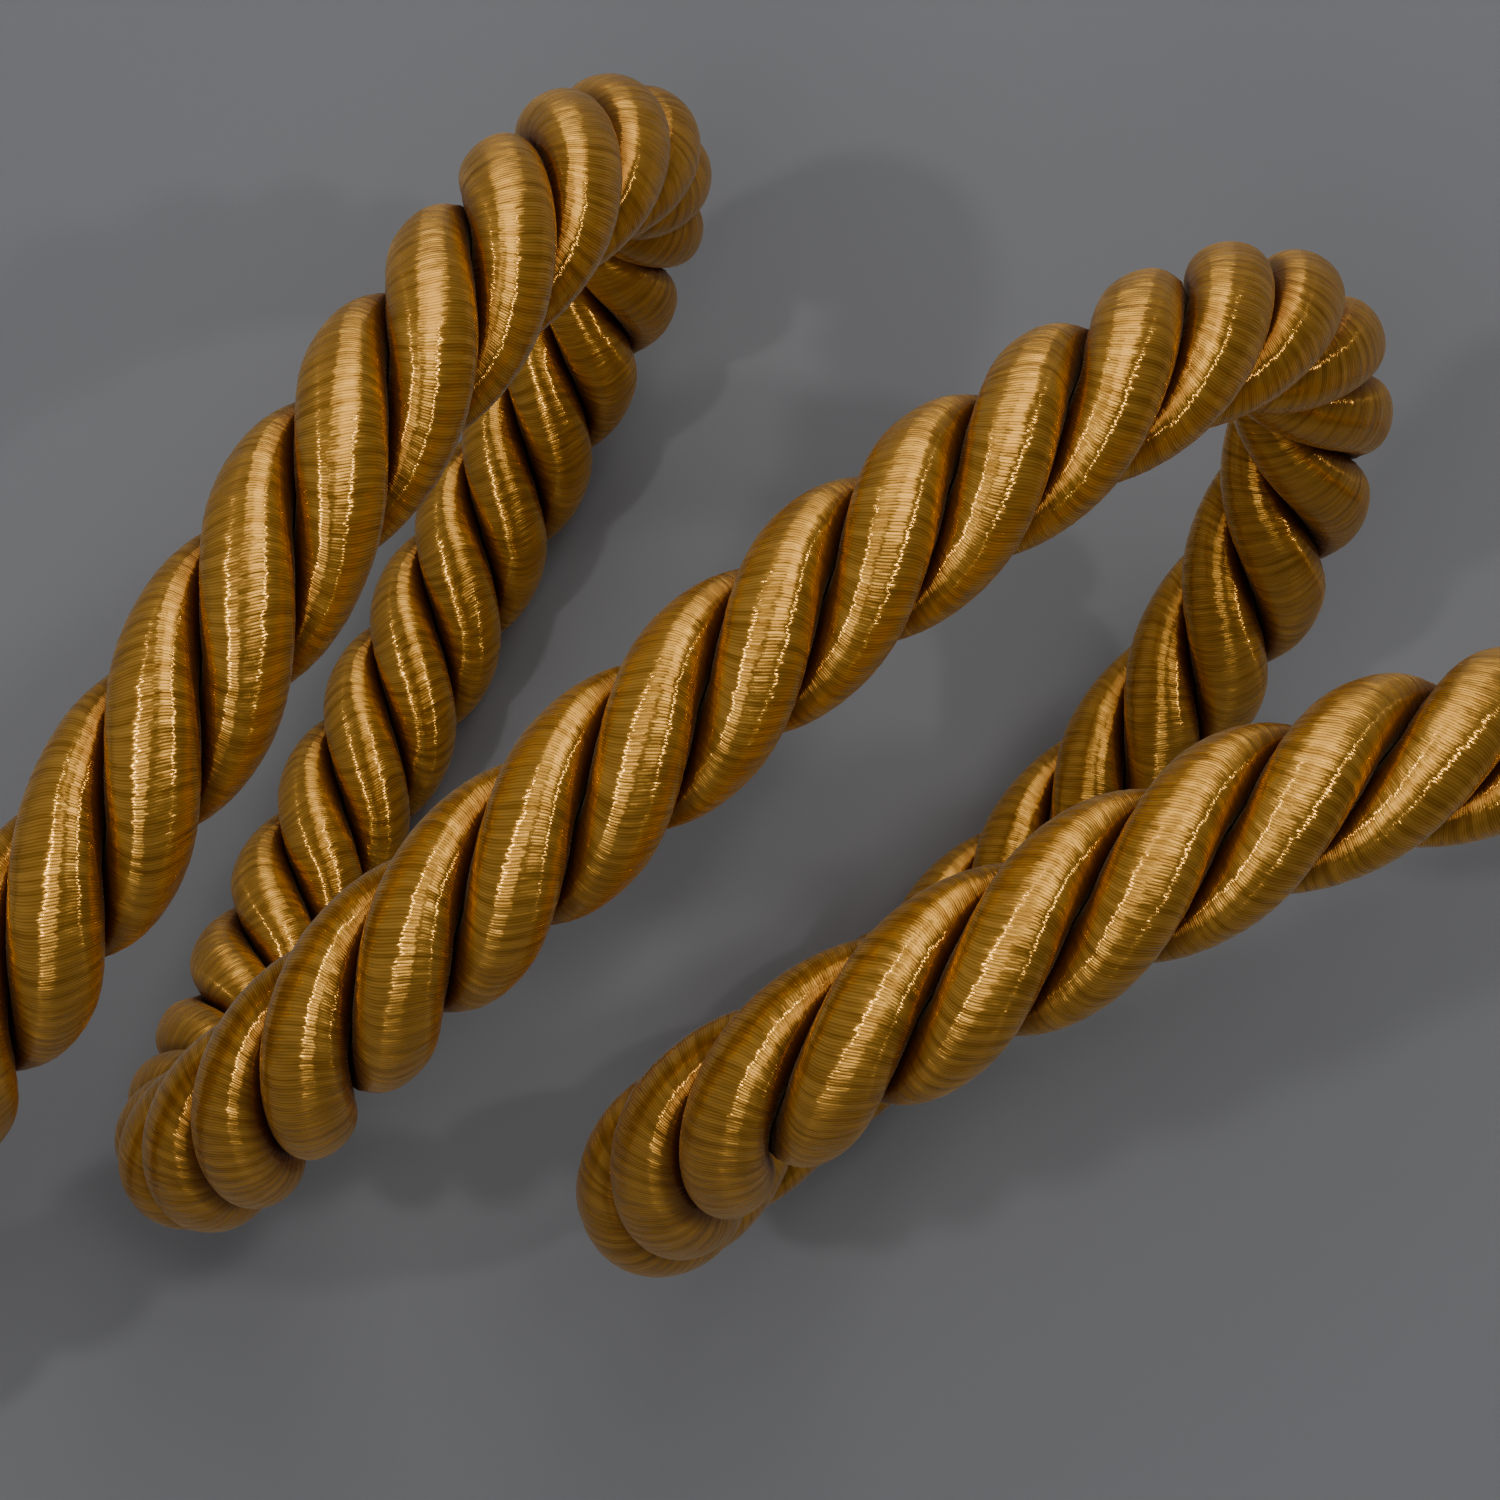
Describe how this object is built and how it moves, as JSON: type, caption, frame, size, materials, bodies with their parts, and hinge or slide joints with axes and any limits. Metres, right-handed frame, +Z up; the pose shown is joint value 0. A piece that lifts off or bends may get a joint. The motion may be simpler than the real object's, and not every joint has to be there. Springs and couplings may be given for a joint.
{
  "type": "twisted cord trim",
  "caption": "Cut length of twisted furnishing cord trim in satin gold thread, lying in springy loops on their side.",
  "frame": {"origin": "on the surface it lies on, under the middle of the cord's outer box", "axes": "+Z up from the surface, +X the way the run of loops travels, from the left end to the right end"},
  "size_m": [0.195, 0.1018, 0.0621],
  "materials": {
    "gold_thread": "satin"
  },
  "bodies": {
    "root": {"ply_one": "gold_thread", "ply_two": "gold_thread", "ply_three": "gold_thread"}
  },
  "joints": []
}
